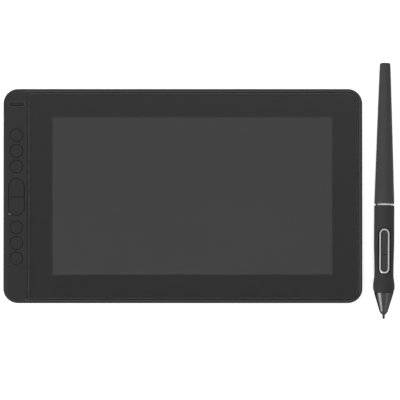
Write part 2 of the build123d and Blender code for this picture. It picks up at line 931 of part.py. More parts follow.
def shield_can():
    """The metal can over the main board's processor, with a row of small vents."""
    x = port_places()[1] + port_shell_width + shield_can_length / 2
    y = main_board_far - main_board_width / 2 + board_part_shift
    can = on_main_board(x, y, shield_can_length, shield_can_width, shield_can_height)
    wall = shield_can_wall
    inner_length = shield_can_length - 2 * wall
    inner_width = shield_can_width - 2 * wall
    hollow = on_main_board(x, y, inner_length, inner_width, shield_can_height - wall)
    roof = main_board_top + shield_can_height
    vent = Rectangle(shield_vent_width, shield_can_width / 2)
    for place in (-1, 0, 1):
        can -= Pos(x + place * shield_vent_pitch, y) * prism(vent, main_board_top, roof)
    return can - hollow


def board_chips():
    """The chips on the main board and on its leg."""
    can_right = port_places()[1] + port_shell_width + shield_can_length
    x = can_right + chip_size
    y = main_board_far - main_board_width / 2 + board_part_shift
    leg_x = leg_left + main_board_leg_width / 2
    leg_y = leg_near + leg_chip_offset
    return [
        on_main_board(x, y, chip_size, chip_size, chip_height),
        on_main_board(x + 2 * chip_size, y, chip_size, chip_size, chip_height),
        on_main_board(leg_x, leg_y, chip_size, 2 * chip_size, chip_height),
    ]


def connector_y():
    """The near side of the two connectors that stand along the main board's near edge."""
    return main_board_near + connector_setback


def key_flex_y():
    """The middle of the flex from the key board."""
    return leg_near + leg_chip_offset + chip_size + flex_width / 2


def board_connectors():
    """The connectors that the three flexes plug into."""
    y = connector_y() + connector_width / 2
    long_side = flex_width + connector_setback
    key_side = key_flex_width + connector_setback
    key_x = leg_left + connector_setback / 2 + connector_width / 2
    return [
        on_main_board(display_flex_x, y, long_side, connector_width, connector_height),
        on_main_board(sensor_flex_x, y, long_side, connector_width, connector_height),
        on_main_board(key_x, key_flex_y(), connector_width, key_side, connector_height),
    ]


def display_flex():
    """The flex that leaves the panel's far edge, drops through the notch and meets its connector."""
    half = flex_width / 2
    left = display_flex_x - half
    right = display_flex_x + half
    drop_near = panel_far + panel_clearance
    drop_far = drop_near + flex_thickness
    high = (panel_top + panel_bottom) / 2
    low = main_board_top + connector_height / 2
    flex = block(left, right, panel_far, drop_far, high - flex_thickness, high)
    flex += block(left, right, drop_near, drop_far, low, high)
    return flex + block(left, right, drop_near, connector_y(), low, low + flex_thickness)


def sensor_flex():
    """The flex from the pen sensor's far edge to its connector."""
    half = flex_width / 2
    edge = screen_height / 2 + sensor_border
    low = main_board_top + connector_height / 2
    return block(
        sensor_flex_x - half, sensor_flex_x + half, edge, connector_y(), low, low + flex_thickness
    )


def key_flex():
    """The flex glued under the key board, reaching the connector on the main board's leg."""
    y = key_flex_y()
    half = key_flex_width / 2
    board_right = key_board_left + key_board_width
    connector_left = leg_left + connector_setback / 2
    high = key_board_bottom
    low = high - flex_thickness
    return block(board_right - key_flex_reach, connector_left, y - half, y + half, low, high)


def usb_c_ports():
    """The two ports: a drawn shell, closed behind, with the contact tongue inside."""
    ports = []
    for x in port_places():
        outer = extrude(long_outline(port_shell_width, port_shell_height), port_shell_depth)
        wall = port_shell_wall
        mouth = long_outline(port_shell_width - 2 * wall, port_shell_height - 2 * wall)
        shell = outer - extrude(mouth, port_shell_depth - wall)
        tongue_length = port_shell_depth - port_tongue_setback
        tongue = Pos(0, 0, port_tongue_setback) * extrude(
            Rectangle(port_tongue_width, port_tongue_thickness), tongue_length
        )
        ports.append(Pos(x, far_edge - port_setback, port_height) * Rot(90, 0, 0) * (shell + tongue))
    return ports


def flat_turned(profile):
    """A solid turned about the pen's axis through (radius, station) points, in narrow flat sides.

    Flat sides as narrow as these keep a taper's mesh small, and look round.
    """
    turns = [2 * pi * side / turn_sides for side in range(turn_sides)]
    rings = [
        [(radius * cos(turn), -station, radius * sin(turn)) for turn in turns] for radius, station in profile
    ]
    faces = [Face(Wire.make_polygon(rings[0])), Face(Wire.make_polygon(rings[-1]))]
    for rear, front in zip(rings, rings[1:]):
        for side in range(turn_sides):
            ahead = (side + 1) % turn_sides
            faces.append(Face(Wire.make_polygon([rear[side], rear[ahead], front[ahead], front[side]])))
    return Solid(Shell(faces))


def rod(radius, start, end):
    """A plain round rod or bore between two stations of the pen."""
    return flat_turned([(radius, start), (radius, end)])


def sleeve(inner, outer, start, end):
    """A plain round tube between two stations of the pen."""
    return rod(outer, start, end) - rod(inner, start - overrun, end + overrun)


def eased(start, end, steps):
    """Points of a smooth step from one (radius, share) to another, without the first."""
    points = []
    for step in range(1, steps + 1):
        share = step / steps
        ease = (1 - cos(pi * share)) / 2
        points.append((start[0] + (end[0] - start[0]) * ease, start[1] + (end[1] - start[1]) * share))
    return points


def hidden_round(radius, start, end):
    """A thin round rod or bore along the pen, with the few sides of a hidden post."""
    return Pos(0, -start, 0) * Rot(90, 0, 0) * extrude(RegularPolygon(radius, post_sides), end - start)


def grip_points():
    """The grip's outline from rear to front as radii at shares of its length."""
    belly = (grip_belly_radius, belly_share)
    waist = [(grip_waist_radius, share) for share in waist_shares]
    flare = [(grip_flare_radius, share) for share in flare_shares]
    points = [(grip_rear_radius, 0), belly]
    points += eased(belly, waist[0], slow_steps) + [waist[1]]
    points += eased(waist[1], flare[0], flare_steps) + [flare[1]]
    return points + eased(flare[1], (grip_front_radius, 1), slow_steps)


def grip_form(extra):
    """The grip's form without its bore, drawn out by an extra."""
    profile = [(radius + extra, grip_start + share * grip_length) for radius, share in grip_points()]
    return flat_turned(profile)


def barrel_radius(station):
    """The upper barrel's radius: a straight taper with a slight swell half way."""
    share = station / barrel_length
    straight = tail_radius + (barrel_front_radius - tail_radius) * share
    return straight + 4 * barrel_swell * share * (1 - share)


def tail_points():
    """The round edge of the barrel's tail, as radii and stations."""
    turns = [pi / 2 * step / tail_steps for step in range(tail_steps + 1)]
    flat = barrel_radius(tail_round) - tail_round
    return [(flat + tail_round * sin(turn), tail_round * (1 - cos(turn))) for turn in turns]


def pen_barrel():
    """The long tapered upper barrel, rounded at its tail, with a plain cavity and the core's bore."""
    stretch = (barrel_length - tail_round) / barrel_steps
    stations = [tail_round + stretch * step for step in range(1, barrel_steps + 1)]
    barrel = flat_turned(tail_points() + [(barrel_radius(station), station) for station in stations])
    cavity = prism(RegularPolygon(tail_radius - barrel_wall, post_sides), 0, core_start - barrel_solid_tail)
    barrel -= Pos(0, -barrel_solid_tail, 0) * Rot(90, 0, 0) * cavity
    return barrel - rod(core_radius + pen_fit, core_start, barrel_length + overrun)


def pen_ring():
    """The bright metal ring between barrel and grip."""
    return sleeve(core_radius + pen_fit, ring_radius, ring_start, grip_start)


def trim_outline(grow):
    """The trim's outline round the side buttons, seen from above the pen."""
    return Pos(0, -trim_centre) * long_outline(trim_length + 2 * grow, trim_width + 2 * grow, 90)


def pen_core():
    """The stiff inner tube that joins barrel, grip and nose, with the seat for the trim."""
    core = sleeve(core_inner, core_radius, core_start, grip_end)
    return core - prism(trim_outline(pen_fit), trim_seat, ring_radius)


def pen_grip():
    """The soft sleeve with a waist and a flare, open round the trim."""
    grip = grip_form(0) - rod(core_radius + pen_fit, ring_start, grip_end + overrun)
    return grip - prism(trim_outline(trim_channel), 0, grip_flare_radius + overrun)


def pen_trim():
    """The bright line round the side buttons, which follows the grip's surface."""
    ring = trim_outline(0) - trim_outline(-trim_line)
    return prism(ring, trim_seat, grip_flare_radius + overrun) & grip_form(trim_proud)


def side_button(rear, front):
    """One side button between two stations: ridge-topped, with a flange that holds it and a stem."""
    outline = trim_outline(-trim_line - side_button_gap)
    window = Pos(0, -(rear + front) / 2) * Rectangle(trim_width, front - rear)
    half = trim_inner_half - side_button_gap
    flange_half = side_button_flange_width / 2
    flange_top = sqrt((core_inner - side_button_flange_gap) ** 2 - flange_half**2)
    flange_bottom = flange_top - side_button_flange_thickness
    body = prism(outline & window, flange_bottom, grip_flare_radius + overrun)
    body &= grip_form(side_button_proud)
    shoulder = grip_waist_radius + side_button_proud - side_button_bevel
    corners = [(-half, 0), (half, 0), (half, shoulder), (0, shoulder + half), (-half, shoulder)]
    roof = Rot(90, 0, 0) * extrude(make_face(Polyline(*corners, close=True)), pen_length)
    body &= roof
    inset = side_button_gap
    body += block(-flange_half, flange_half, -front + inset, -rear - inset, flange_bottom, flange_top)
    middle = -(rear + front) / 2
    stem_half = side_button_stem_width / 2
    return body + block(
        -stem_half, stem_half, middle - stem_half, middle + stem_half, button_bottom, flange_bottom + root
    )


def side_button_spans():
    """The stations between which the two side buttons lie, the rear one first."""
    split = trim_rear + side_button_split
    inset = trim_line + side_button_gap
    gap = side_button_split_gap / 2
    return [(trim_rear + inset, split - gap), (split + gap, trim_rear + trim_length - inset)]


def pen_nose_cone():
    """The bright nose: a cone with a blunt tip, a spigot for the core and a chamber for the coil."""
    nose = flat_turned(
        [
            (nose_base_radius, grip_end),
            (nose_shoulder_radius, shoulder_at),
            (nose_tip_radius, nose_end),
        ]
    )
    nose += rod(core_inner - pen_fit, spigot_start, grip_end + root)
    chamber_end = ferrite_start + ferrite_length + pen_fit
    nose -= hidden_round(coil_radius + pen_fit, spigot_start - overrun, chamber_end)
    return nose - hidden_round(nib_radius + nib_gap, chamber_end - overrun, nose_end + overrun)


def pen_nib():
    """The nib, which runs back through the coil into the pressure sensor."""
    nib = hidden_round(nib_radius, ferrite_start - nib_tail_reach, pen_length)
    return chamfer(nib.faces().sort_by(Axis.Y)[0].edges(), nib_taper)


def pen_pressure_sensor():
    """The sensor that the nib's tail presses on, with the cup that takes it."""
    sensor = hidden_round(core_inner - pen_fit, cup_start, ferrite_start)
    cup_depth = nib_tail_reach + nib_travel + nib_gap
    return sensor - hidden_round(nib_radius + nib_gap, ferrite_start - cup_depth, ferrite_start + overrun)


def pen_ferrite():
    """The ferrite core in the nose."""
    end = ferrite_start + ferrite_length
    bore = hidden_round(nib_radius + nib_gap, ferrite_start - overrun, end + overrun)
    return hidden_round(ferrite_radius, ferrite_start, end) - bore


def pen_coil():
    """The winding on the ferrite core, as one sleeve."""
    start = ferrite_start + coil_setback
    end = start + coil_length
    bore = hidden_round(ferrite_radius + screw_gap, start - overrun, end + overrun)
    return hidden_round(coil_radius, start, end) - bore


def pen_board():
    """The pen's circuit board, held edgewise in the core's bore."""
    half = sqrt((core_inner - pen_fit) ** 2 - pen_board_height**2)
    low = pen_board_height - pen_board_thickness
    return block(-half, half, -pen_board_end, -pen_board_end + pen_board_length, low, pen_board_height)


def pen_switches():
    """The two switches under the side buttons."""
    half = pen_switch_size / 2
    high = pen_board_height + pen_switch_height
    middles = [-(rear + front) / 2 for rear, front in side_button_spans()]
    return [block(-half, half, y - half, y + half, pen_board_height, high) for y in middles]


def pen_nodes():
    """Every piece of the pen by name, drawn about the pen's own axis."""
    rear_span, front_span = side_button_spans()
    return {
        "pen_barrel": pen_barrel(),
        "pen_ring": pen_ring(),
        "pen_core": pen_core(),
        "pen_grip": pen_grip(),
        "pen_trim": pen_trim(),
        "pen_button_rear": side_button(*rear_span),
        "pen_button_front": side_button(*front_span),
        "pen_nose_cone": pen_nose_cone(),
        "pen_nib": pen_nib(),
        "pen_pressure_sensor": pen_pressure_sensor(),
        "pen_ferrite": pen_ferrite(),
        "pen_coil": pen_coil(),
        "pen_board": pen_board(),
        "pen_switches": pen_switches(),
    }


def laid_down(pen):
    """Lays the pen on the desk beside the tablet, resting on its flare and its tail."""
    flare_at = grip_start + flare_shares[0] * grip_length
    tilt = -atan2(grip_flare_radius - tail_radius, flare_at - tail_round)
    turn = radians(pen_turn)
    x = right_edge + pen_side_gap + grip_flare_radius - flare_at * cos(tilt) * sin(turn)
    tail_y = -far_edge - pen_tip_ahead + pen_length * cos(tilt) * cos(turn)
    turned = Rot(0, 0, pen_turn) * Rot(degrees(tilt), 0, 0)
    turned_pen = {name: spread(turned, shapes) for name, shapes in pen.items()}
    lowest = min(turned_pen[name].bounding_box().min.Z for name in ("pen_barrel", "pen_grip"))
    return {name: spread(Pos(x, tail_y, -lowest), shapes) for name, shapes in turned_pen.items()}


def spread(place, shapes):
    """Moves one shape, or each shape of a list."""
    return [place * shape for shape in shapes] if isinstance(shapes, list) else place * shapes


def footprint_shift(nodes):
    """The move that brings the middle of the set's footprint to the origin."""
    boxes = []
    for shapes in nodes.values():
        boxes += [shape.bounding_box() for shape in (shapes if isinstance(shapes, list) else [shapes])]
    x = min(box.min.X for box in boxes) + max(box.max.X for box in boxes)
    y = min(box.min.Y for box in boxes) + max(box.max.Y for box in boxes)
    return Pos(-x / 2, -y / 2, 0)


def write(name, shapes):
    """Writes one piece, or a group of like pieces, to its own file."""
    whole = Compound(children=shapes) if isinstance(shapes, list) else shapes
    export_step(whole, f"parts/{name}.step")


def tablet_nodes():
    """Every piece of the tablet by name."""
    nodes = {
        "front_frame": front_frame(),
        "rear_cover": rear_cover(),
        "rubber_feet": rubber_feet(),
        "cover_glass": cover_glass(),
        "border_print": border_print(),
        "glass_tape": glass_tape(),
        "optical_adhesive": optical_adhesive(),
        "lcd_panel": lcd_panel(),
        "backlight_frame": backlight_frame(),
        "reflector_sheet": reflector_sheet(),
        "light_guide": light_guide(),
        "diffuser_films": diffuser_films(),
        "led_strip": led_strip(),
        "pen_sensor_board": pen_sensor_board(),
        "sensor_shield": sensor_shield(),
        "sensor_plate": sensor_plate(),
        "housing_screws": housing_screws(),
        "plate_screws": plate_screws(),
        "board_screws": board_screws(),
        "key_board": key_board(),
        "tact_switches": tact_switches(),
        "indicator_light_pipe": indicator_light_pipe(),
        "power_key": power_key(),
        "main_board": main_board(),
        "shield_can": shield_can(),
        "board_chips": board_chips(),
        "board_connectors": board_connectors(),
        "usb_c_ports": usb_c_ports(),
        "display_flex": display_flex(),
        "sensor_flex": sensor_flex(),
        "key_flex": key_flex(),
    }
    nodes.update(express_keys())
    return nodes


nodes = tablet_nodes()
nodes.update(laid_down(pen_nodes()))
shift = footprint_shift(nodes)
os.makedirs("parts", exist_ok=True)
for name, shapes in nodes.items():
    write(name, spread(shift, shapes))
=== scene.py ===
from math import atan2, cos, pi, radians, sin, sqrt

import bmesh
import bpy
from mathutils import Matrix, Vector

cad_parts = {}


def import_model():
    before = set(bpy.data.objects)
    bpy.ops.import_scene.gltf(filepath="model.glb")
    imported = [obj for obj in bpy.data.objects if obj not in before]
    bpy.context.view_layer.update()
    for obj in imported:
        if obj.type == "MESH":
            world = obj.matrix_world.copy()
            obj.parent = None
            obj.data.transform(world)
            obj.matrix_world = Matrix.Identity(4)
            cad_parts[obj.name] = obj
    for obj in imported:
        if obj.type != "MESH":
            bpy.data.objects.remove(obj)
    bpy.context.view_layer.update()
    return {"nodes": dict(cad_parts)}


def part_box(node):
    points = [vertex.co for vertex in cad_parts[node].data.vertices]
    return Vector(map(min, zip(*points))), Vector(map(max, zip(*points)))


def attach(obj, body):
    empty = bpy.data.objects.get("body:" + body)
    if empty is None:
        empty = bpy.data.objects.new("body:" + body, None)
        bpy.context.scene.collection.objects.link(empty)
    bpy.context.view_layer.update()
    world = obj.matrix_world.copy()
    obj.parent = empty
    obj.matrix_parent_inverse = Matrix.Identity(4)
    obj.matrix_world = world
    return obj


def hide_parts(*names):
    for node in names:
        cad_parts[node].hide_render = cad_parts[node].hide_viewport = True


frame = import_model()
nodes = frame["nodes"]

MM = 0.001
frame_low, frame_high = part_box("front_frame")
tablet_x = (frame_low.x + frame_high.x) / 2
tablet_y = (frame_low.y + frame_high.y) / 2
tablet_top = frame_high.z
tablet_half_x = (frame_high.x - frame_low.x) / 2
tablet_half_y = (frame_high.y - frame_low.y) / 2
power_low, power_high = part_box("power_key")

# The rim's width, and how far in millimetres the painted highlight of rim and power key's mouth reaches
RIM = 3.2
HIGHLIGHT_REACH = 1.3
HIGHLIGHT_BLEND = 0.3
MOUTH_REACH = 1.3


# Materials


def grey(value):
    return (value, value, value)


class Shader:
    """A Principled material with a few helpers for its procedural nodes."""

    def __init__(self, name, **values):
        self.material = bpy.data.materials.new(name)
        self.material.use_nodes = True
        self.tree = self.material.node_tree
        self.surface = self.tree.nodes["Principled BSDF"]
        for key, value in values.items():
            socket = self.surface.inputs[key.replace("_", " ")]
            if hasattr(socket.default_value, "__len__") and len(value) == 3:
                value = (*value, 1)
            socket.default_value = value
        self.place = self.node("ShaderNodeTexCoord").outputs["Object"]

    def node(self, kind, links=(), **settings):
        made = self.tree.nodes.new(kind)
        for key, value in settings.items():
            setattr(made, key, value)
        for key, value in dict(links).items():
            if isinstance(value, bpy.types.NodeSocket):
                self.tree.links.new(value, made.inputs[key])
            else:
                made.inputs[key].default_value = value
        return made

    def link(self, socket, key):
        self.tree.links.new(socket, self.surface.inputs[key])

    def stretched(self, x, y, z):
        """The object's coordinates drawn out along its axes."""
        return self.node("ShaderNodeMapping", {"Vector": self.place, "Scale": (x, y, z)}).outputs[0]

    def noise(self, scale, detail=2.0, vector=None, roughness=0.5):
        links = {"Vector": vector or self.place, "Scale": scale, "Detail": detail, "Roughness": roughness}
        return self.node("ShaderNodeTexNoise", links).outputs[0]

    def ranged(self, value, low, high, start=0.0, end=1.0):
        links = {0: value, 1: start, 2: end, 3: low, 4: high}
        return self.node("ShaderNodeMapRange", links).outputs[0]

    def mixed(self, factor, first, second):
        made = self.node("ShaderNodeMix", {0: factor}, data_type="RGBA")
        for key, colour in ((6, first), (7, second)):
            if isinstance(colour, bpy.types.NodeSocket):
                self.tree.links.new(colour, made.inputs[key])
            else:
                made.inputs[key].default_value = (*colour, 1)
        return made.outputs[2]

    def maths(self, kind, first, second):
        made = self.node("ShaderNodeMath", {0: first, 1: second}, operation=kind)
        return made.outputs[0]

    def away(self, place, middle):
        """How far a coordinate lies from a middle, to either side."""
        offset = self.maths("SUBTRACT", place, middle)
        return self.node("ShaderNodeMath", {0: offset}, operation="ABSOLUTE").outputs[0]

    def soft_edges(self, size):
        """A normal that rounds every edge a little, as moulding and use do."""
        self.bevel = self.node("ShaderNodeBevel", {"Radius": size}, samples=6).outputs[0]
        return self.bevel

    def edge_mask(self, sharp=0.85, flat=0.995):
        """One on the edges, where use and a painted highlight lighten them, and zero on the flats."""
        true_normal = self.node("ShaderNodeNewGeometry").outputs["True Normal"]
        turn = self.node("ShaderNodeVectorMath", {0: self.bevel, 1: true_normal}, operation="DOT_PRODUCT")
        return self.ranged(turn.outputs["Value"], 1.0, 0.0, sharp, flat)

    def bumped(self, height, strength, distance, normal=None):
        links = {"Height": height, "Strength": strength, "Distance": distance}
        if normal is not None:
            links["Normal"] = normal
        return self.node("ShaderNodeBump", links).outputs[0]


def moulded(
    name, colour, roughness, level, grain=2600, depth=0.012, edge=0.3, wear_and_highlight=1.3, spread=0.06, rim=0.0
):
    """Moulded plastic: a fine spark-eroded grain, patches of shine from handling, and lighter edges.

    The edge factor brightens all edges, partly from use and partly as a painted highlight, and the rim factor
    paints a highlight on the tablet's rim and the power key's mouth.
    """
    shader = Shader(name, Specular_IOR_Level=level)
    edges = shader.soft_edges(edge * MM)
    fine = shader.noise(grain, 3.0)
    shader.link(shader.bumped(fine, 0.35, depth * MM, edges), "Normal")
    patches = shader.noise(38, 4.0)
    shader.link(shader.ranged(patches, roughness - spread, roughness + spread, 0.3, 0.7), "Roughness")
    worn_and_lit = tuple(min(1.0, part * wear_and_highlight) for part in colour)
    dull = tuple(part * 0.93 for part in colour)
    base = shader.mixed(shader.ranged(patches, 0, 1, 0.35, 0.65), dull, colour)
    # Lighter edges, partly from use and partly a painted highlight.
    base = shader.mixed(shader.edge_mask(), base, worn_and_lit)
    # A painted highlight on the tablet's rim and the power key's mouth, as lighter colour near their edges.
    if rim:
        base = shader.mixed(painted_rim_highlight(shader), base, tuple(part * rim for part in colour))
    shader.link(base, "Base Color")
    return shader.material


def painted_rim_highlight(shader):
    """One where a highlight is painted on the rim and the power key's mouth, near their edges, and zero
    elsewhere.
    """
    shader.soft_edges(HIGHLIGHT_REACH * MM)
    worn_and_lit = shader.edge_mask(0.93, 0.998)
    x, y, _ = shader.node("ShaderNodeSeparateXYZ", {0: shader.place}).outputs
    rim = []
    for place, middle, half in ((x, tablet_x, tablet_half_x), (y, tablet_y, tablet_half_y)):
        inner = half - RIM * MM
        rim.append(shader.ranged(shader.away(place, middle), 0, 1, inner, half - (RIM - HIGHLIGHT_BLEND) * MM))
    mouth = []
    for place, low, high in ((x, power_low.x, power_high.x), (y, power_low.y, power_high.y)):
        reached = (high - low) / 2 + MOUTH_REACH * MM
        from_middle = shader.away(place, (low + high) / 2)
        mouth.append(shader.ranged(from_middle, 1, 0, reached, reached + HIGHLIGHT_BLEND * MM))
    covered = shader.maths("MAXIMUM", shader.maths("MAXIMUM", *rim), shader.maths("MINIMUM", *mouth))
    return shader.maths("MULTIPLY", worn_and_lit, covered)


def rubbery(name, colour, roughness, level, grain=1500, depth=0.02):
    """Soft rubber: a dull pebbled skin that takes a little dust."""
    shader = Shader(name, Specular_IOR_Level=level, Sheen_Weight=0.02, Sheen_Roughness=0.5)
    edges = shader.soft_edges(0.3 * MM)
    pebbles = shader.node("ShaderNodeTexVoronoi", {"Vector": shader.place, "Scale": grain}).outputs[0]
    shader.link(shader.bumped(pebbles, 0.4, depth * MM, edges), "Normal")
    dust = shader.noise(55, 5.0)
    shader.link(shader.ranged(dust, roughness - 0.05, roughness + 0.05, 0.3, 0.7), "Roughness")
    dusty = tuple(part * 1.12 for part in colour)
    shader.link(shader.mixed(shader.ranged(dust, 0, 1, 0.4, 0.75), colour, dusty), "Base Color")
    return shader.material


def metal(
    name, colour, roughness, brushing=(1, 1, 1), scale=900, depth=0.004, edge=0.1, spread=0.05, tint=1.0
):
    """Metal with fine drawn lines, and a roughness that wanders as handling leaves it."""
    shader = Shader(name, Metallic=1.0, Specular_Tint=grey(tint))
    edges = shader.soft_edges(edge * MM)
    lines = shader.noise(scale, 4.0, shader.stretched(*brushing))
    shader.link(shader.bumped(lines, 0.3, depth * MM, edges), "Normal")
    marks = shader.noise(120, 4.0)
    shader.link(shader.ranged(marks, roughness - spread, roughness + spread, 0.3, 0.7), "Roughness")
    stained = tuple(part * 0.9 for part in colour)
    shader.link(shader.mixed(shader.ranged(marks, 0, 1, 0.35, 0.7), stained, colour), "Base Color")
    return shader.material


def printed(name, colour, roughness=0.6, level=0.3, speck=5000):
    """Ink or coating: even, with a very fine speckle."""
    shader = Shader(name, Specular_IOR_Level=level)
    specks = shader.noise(speck, 2.0)
    dark = tuple(part * 0.85 for part in colour)
    shader.link(shader.mixed(shader.ranged(specks, 0, 1, 0.35, 0.65), dark, colour), "Base Color")
    shader.link(shader.ranged(specks, roughness - 0.05, roughness + 0.05, 0.3, 0.7), "Roughness")
    shader.link(shader.bumped(specks, 0.2, 0.003 * MM), "Normal")
    return shader.material


def etched_glass():
    """Glass etched against glare: a fine tooth that spreads reflections, with faint traces of wiping."""
    shader = Shader("etched_glass", Base_Color=(1, 1, 1), Transmission_Weight=1.0, IOR=1.36)
    waves = shader.noise(160, 1.0)
    shader.link(shader.bumped(waves, 0.04, 0.01 * MM), "Normal")
    wiped = shader.noise(16, 5.0, shader.stretched(0.5, 1.6, 1))
    shader.link(shader.ranged(wiped, 0.4, 0.46, 0.3, 0.7), "Roughness")
    return shader.material


def clear(name, colour=(1, 1, 1), ior=1.49):
    """Clear plastic with a faint unevenness."""
    shader = Shader(name, Base_Color=colour, Transmission_Weight=1.0, IOR=ior)
    waves = shader.noise(300, 2.0)
    shader.link(shader.ranged(waves, 0.02, 0.08, 0.3, 0.7), "Roughness")
    shader.link(shader.bumped(waves, 0.05, 0.002 * MM), "Normal")
    return shader.material


def panel_face():
    """The switched-off screen: a dark polariser over fine columns of cells, with painted shade toward the top
    and painted light toward the bottom against the key light's gradient.
    """
    shader = Shader("panel_face", Specular_IOR_Level=0.0)
    cells = shader.node("ShaderNodeTexWave", {"Vector": shader.place, "Scale": 1200.0}, wave_type="BANDS")
    along = shader.node("ShaderNodeSeparateXYZ", {0: shader.place}).outputs[1]
    # Painted light and shade: darker toward the top, where the key light falls more, and lighter toward the
    # bottom.
    painted_light_toward_bottom = shader.ranged(along, 1, 0, tablet_y - 0.072, tablet_y + 0.072)
    tone = shader.mixed(painted_light_toward_bottom, SCREEN_PAINTED_DARK_TOP, SCREEN_PAINTED_LIGHT_BOTTOM)
    weave = shader.mixed(shader.ranged(cells.outputs[1], 0.0, 0.04), tone, (0.03, 0.03, 0.03))
    shader.link(weave, "Base Color")
    shader.link(shader.ranged(shader.noise(200, 2.0), 0.35, 0.45, 0.3, 0.7), "Roughness")
    return shader.material


def board_mask(name, colour):
    """A circuit board: glossy mask over copper runs that show as slightly raised, paler lines."""
    shader = Shader(name, Specular_IOR_Level=0.5)
    blocky = shader.node(
        "ShaderNodeTexVoronoi", {"Vector": shader.place, "Scale": 420.0}, distance="CHEBYCHEV"
    ).outputs[0]
    runs = shader.ranged(blocky, 0, 1, 0.42, 0.5)
    bright = tuple(min(1.0, part * 1.6) for part in colour)
    shader.link(shader.mixed(runs, colour, bright), "Base Color")
    shader.link(shader.bumped(runs, 0.3, 0.02 * MM, shader.soft_edges(0.1 * MM)), "Normal")
    shader.link(shader.ranged(shader.noise(600), 0.28, 0.4, 0.3, 0.7), "Roughness")
    return shader.material


def wound():
    """Enamelled wire, wound close round the pen's axis."""
    shader = Shader("winding", Metallic=0.7)
    turns = shader.node(
        "ShaderNodeTexWave", {"Vector": shader.place, "Scale": 1400.0}, bands_direction="Y"
    ).outputs[1]
    shader.link(shader.mixed(turns, (0.16, 0.05, 0.02), (0.62, 0.27, 0.12)), "Base Color")
    shader.link(shader.bumped(turns, 0.6, 0.05 * MM), "Normal")
    shader.link(shader.ranged(turns, 0.45, 0.25), "Roughness")
    return shader.material


# The screen's painted tones: shade toward the top, light toward the bottom.
SCREEN_PAINTED_DARK_TOP = grey(0.0265)
SCREEN_PAINTED_LIGHT_BOTTOM = grey(0.034)

# The frame gets a painted highlight along its rim, and lighter edges that are partly from use and partly
# painted highlight.
frame_plastic = moulded("frame_plastic", grey(0.0205), 0.55, 0.18, edge=0.5, wear_and_highlight=1.7, rim=3.0)
cover_plastic = moulded("cover_plastic", grey(0.024), 0.58, 0.2, grain=1800, depth=0.03)
key_plastic = moulded("key_plastic", grey(0.0195), 0.5, 0.18, grain=3200, depth=0.008, edge=0.3, wear_and_highlight=1.2)
# The power key's edges are lightened strongly, mostly as a painted highlight.
power_plastic = moulded("power_plastic", grey(0.013), 0.4, 0.2, grain=3200, depth=0.008, edge=0.3, wear_and_highlight=2.5)
foot_rubber = rubbery("foot_rubber", grey(0.02), 0.75, 0.2)
glass = etched_glass()
print_black = printed("print_black", grey(0.004), level=0.0)
edge_ink = printed("edge_ink", grey(0.003), level=0.1)
# Paler than the ink, partly as ground glass and partly as a painted highlight on the edge's first slope.
ground_edge_and_highlight = printed("ground_edge_and_highlight", grey(0.085), 0.5, 0.3)
tape_black = printed("tape_black", grey(0.01), 0.7)
guide_clear = clear("guide_clear", (0.95, 0.97, 0.98))
panel = panel_face()
white_film = printed("white_film", (0.82, 0.82, 0.8), 0.5, 0.4, 2500)
white_frame = moulded("white_frame", (0.8, 0.8, 0.78), 0.5, 0.4, wear_and_highlight=1.05)
board_green = board_mask("board_green", (0.02, 0.12, 0.055))
sheet_steel = metal("sheet_steel", (0.55, 0.55, 0.56), 0.35, (1, 0.05, 1), 1600)
plate_aluminium = metal("plate_aluminium", (0.68, 0.69, 0.7), 0.42, (0.04, 1, 1), 1400)
screw_steel = metal("screw_steel", grey(0.12), 0.38, scale=2500)
port_steel = metal("port_steel", (0.55, 0.55, 0.56), 0.28, (1, 0.2, 1), 2500)
chip_black = moulded("chip_black", grey(0.02), 0.6, 0.35, grain=4500, edge=0.08)
connector_cream = moulded("connector_cream", (0.6, 0.56, 0.45), 0.5, 0.4, edge=0.08, wear_and_highlight=1.1)
flex_amber = printed("flex_amber", (0.4, 0.17, 0.03), 0.3, 0.5, 1800)
pipe_milky = Shader(
    "pipe_milky", Base_Color=grey(0.13), Subsurface_Weight=0.3, Subsurface_Scale=0.5 * MM, Roughness=0.35
)
pipe_edges = pipe_milky.soft_edges(0.1 * MM)
pipe_milky.link(pipe_milky.bumped(pipe_milky.noise(3000), 0.2, 0.01 * MM, pipe_edges), "Normal")
barrel_plastic = moulded("barrel_plastic", grey(0.06), 0.5, 0.06, grain=3000, depth=0.01, spread=0.04)
grip_rubber = rubbery("grip_rubber", grey(0.041), 0.75, 0.06, grain=1700, depth=0.018)
bright_metal = metal("bright_metal", grey(0.5), 0.25, (1, 30, 1), 300, edge=0.12)
nose_metal = metal(
    "nose_metal", grey(0.066), 0.27, (1, 40, 1), 260, depth=0.003, edge=0.12, spread=0.03, tint=0.1
)
button_plastic = moulded("button_plastic", grey(0.022), 0.34, 0.35, grain=3600, depth=0.006)
nib_plastic = moulded("nib_plastic", grey(0.02), 0.5, 0.3, edge=0.2)
ferrite_black = printed("ferrite_black", (0.05, 0.045, 0.045), 0.7, 0.3, 3500)
winding = wound()

